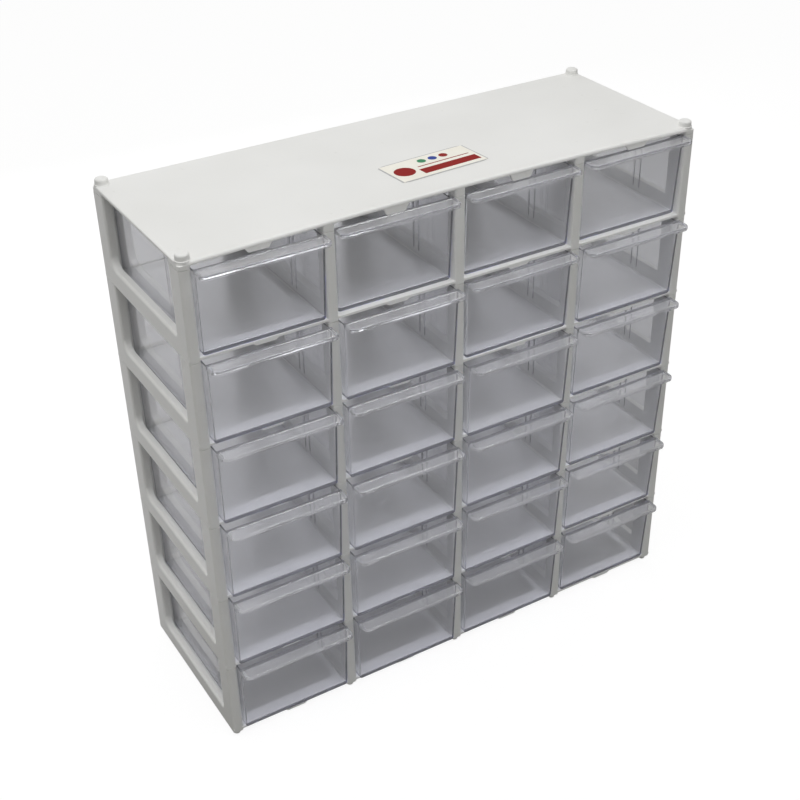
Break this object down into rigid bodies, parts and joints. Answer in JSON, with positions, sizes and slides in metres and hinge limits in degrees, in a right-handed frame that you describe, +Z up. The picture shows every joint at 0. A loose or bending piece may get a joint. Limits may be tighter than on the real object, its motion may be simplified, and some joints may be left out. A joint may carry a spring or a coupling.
{
  "type": "small parts storage cabinet",
  "caption": "Bench-top parts organizer: clear pull-out drawers side by side in a white open-sided frame of stacked plastic tiers.",
  "frame": {"origin": "centre of the bounding box's base, at the height of the surface the feet stand on", "axes": "+Z up, +X to the right along the front, +Y to the back; the drawers open towards -Y"},
  "size_m": [0.4, 0.1626, 0.4005],
  "materials": {
    "frame_plastic": "satin moulded white polystyrene",
    "clear_plastic": "polished clear polystyrene, bluish at its edges",
    "label": "satin cream film with coloured bars"
  },
  "bodies": {
    "cabinet": {"frame_tier_1": "frame_plastic", "frame_tier_2": "frame_plastic", "frame_tier_3": "frame_plastic", "frame_tier_4": "frame_plastic", "frame_tier_5": "frame_plastic", "frame_tier_6": "frame_plastic", "top_panel": "frame_plastic", "label": "label"},
    "tray_r1_c1": {"drawer_r1_c1": "clear_plastic"},
    "tray_r1_c2": {"drawer_r1_c2": "clear_plastic"},
    "tray_r1_c3": {"drawer_r1_c3": "clear_plastic"},
    "tray_r1_c4": {"drawer_r1_c4": "clear_plastic"},
    "tray_r2_c1": {"drawer_r2_c1": "clear_plastic"},
    "tray_r2_c2": {"drawer_r2_c2": "clear_plastic"},
    "tray_r2_c3": {"drawer_r2_c3": "clear_plastic"},
    "tray_r2_c4": {"drawer_r2_c4": "clear_plastic"},
    "tray_r3_c1": {"drawer_r3_c1": "clear_plastic"},
    "tray_r3_c2": {"drawer_r3_c2": "clear_plastic"},
    "tray_r3_c3": {"drawer_r3_c3": "clear_plastic"},
    "tray_r3_c4": {"drawer_r3_c4": "clear_plastic"},
    "tray_r4_c1": {"drawer_r4_c1": "clear_plastic"},
    "tray_r4_c2": {"drawer_r4_c2": "clear_plastic"},
    "tray_r4_c3": {"drawer_r4_c3": "clear_plastic"},
    "tray_r4_c4": {"drawer_r4_c4": "clear_plastic"},
    "tray_r5_c1": {"drawer_r5_c1": "clear_plastic"},
    "tray_r5_c2": {"drawer_r5_c2": "clear_plastic"},
    "tray_r5_c3": {"drawer_r5_c3": "clear_plastic"},
    "tray_r5_c4": {"drawer_r5_c4": "clear_plastic"},
    "tray_r6_c1": {"drawer_r6_c1": "clear_plastic"},
    "tray_r6_c2": {"drawer_r6_c2": "clear_plastic"},
    "tray_r6_c3": {"drawer_r6_c3": "clear_plastic"},
    "tray_r6_c4": {"drawer_r6_c4": "clear_plastic"}
  },
  "joints": [
    {"name": "slide_r1_c1", "type": "slide", "parent": "cabinet", "child": "tray_r1_c1", "axis": [0, -1, 0], "range_m": [-0.004, 0.133]},
    {"name": "slide_r1_c2", "type": "slide", "parent": "cabinet", "child": "tray_r1_c2", "axis": [0, -1, 0], "range_m": [0, 0.137]},
    {"name": "slide_r1_c3", "type": "slide", "parent": "cabinet", "child": "tray_r1_c3", "axis": [0, -1, 0], "range_m": [-0.0005, 0.1365]},
    {"name": "slide_r1_c4", "type": "slide", "parent": "cabinet", "child": "tray_r1_c4", "axis": [0, -1, 0], "range_m": [0, 0.137]},
    {"name": "slide_r2_c1", "type": "slide", "parent": "cabinet", "child": "tray_r2_c1", "axis": [0, -1, 0], "range_m": [-0.004, 0.13]},
    {"name": "slide_r2_c2", "type": "slide", "parent": "cabinet", "child": "tray_r2_c2", "axis": [0, -1, 0], "range_m": [-0.004, 0.13]},
    {"name": "slide_r2_c3", "type": "slide", "parent": "cabinet", "child": "tray_r2_c3", "axis": [0, -1, 0], "range_m": [-0.0005, 0.1335]},
    {"name": "slide_r2_c4", "type": "slide", "parent": "cabinet", "child": "tray_r2_c4", "axis": [0, -1, 0], "range_m": [-0.002, 0.132]},
    {"name": "slide_r3_c1", "type": "slide", "parent": "cabinet", "child": "tray_r3_c1", "axis": [0, -1, 0], "range_m": [-0.005, 0.129]},
    {"name": "slide_r3_c2", "type": "slide", "parent": "cabinet", "child": "tray_r3_c2", "axis": [0, -1, 0], "range_m": [-0.004, 0.13]},
    {"name": "slide_r3_c3", "type": "slide", "parent": "cabinet", "child": "tray_r3_c3", "axis": [0, -1, 0], "range_m": [-0.005, 0.129]},
    {"name": "slide_r3_c4", "type": "slide", "parent": "cabinet", "child": "tray_r3_c4", "axis": [0, -1, 0], "range_m": [-0.0015, 0.1325]},
    {"name": "slide_r4_c1", "type": "slide", "parent": "cabinet", "child": "tray_r4_c1", "axis": [0, -1, 0], "range_m": [-0.0055, 0.1285]},
    {"name": "slide_r4_c2", "type": "slide", "parent": "cabinet", "child": "tray_r4_c2", "axis": [0, -1, 0], "range_m": [-0.0055, 0.1285]},
    {"name": "slide_r4_c3", "type": "slide", "parent": "cabinet", "child": "tray_r4_c3", "axis": [0, -1, 0], "range_m": [-0.005, 0.129]},
    {"name": "slide_r4_c4", "type": "slide", "parent": "cabinet", "child": "tray_r4_c4", "axis": [0, -1, 0], "range_m": [-0.0025, 0.1315]},
    {"name": "slide_r5_c1", "type": "slide", "parent": "cabinet", "child": "tray_r5_c1", "axis": [0, -1, 0], "range_m": [-0.004, 0.13]},
    {"name": "slide_r5_c2", "type": "slide", "parent": "cabinet", "child": "tray_r5_c2", "axis": [0, -1, 0], "range_m": [-0.0045, 0.1295]},
    {"name": "slide_r5_c3", "type": "slide", "parent": "cabinet", "child": "tray_r5_c3", "axis": [0, -1, 0], "range_m": [-0.004, 0.13]},
    {"name": "slide_r5_c4", "type": "slide", "parent": "cabinet", "child": "tray_r5_c4", "axis": [0, -1, 0], "range_m": [-0.002, 0.132]},
    {"name": "slide_r6_c1", "type": "slide", "parent": "cabinet", "child": "tray_r6_c1", "axis": [0, -1, 0], "range_m": [-0.003, 0.131]},
    {"name": "slide_r6_c2", "type": "slide", "parent": "cabinet", "child": "tray_r6_c2", "axis": [0, -1, 0], "range_m": [-0.004, 0.13]},
    {"name": "slide_r6_c3", "type": "slide", "parent": "cabinet", "child": "tray_r6_c3", "axis": [0, -1, 0], "range_m": [-0.003, 0.131]},
    {"name": "slide_r6_c4", "type": "slide", "parent": "cabinet", "child": "tray_r6_c4", "axis": [0, -1, 0], "range_m": [-0.0015, 0.1325]}
  ]
}
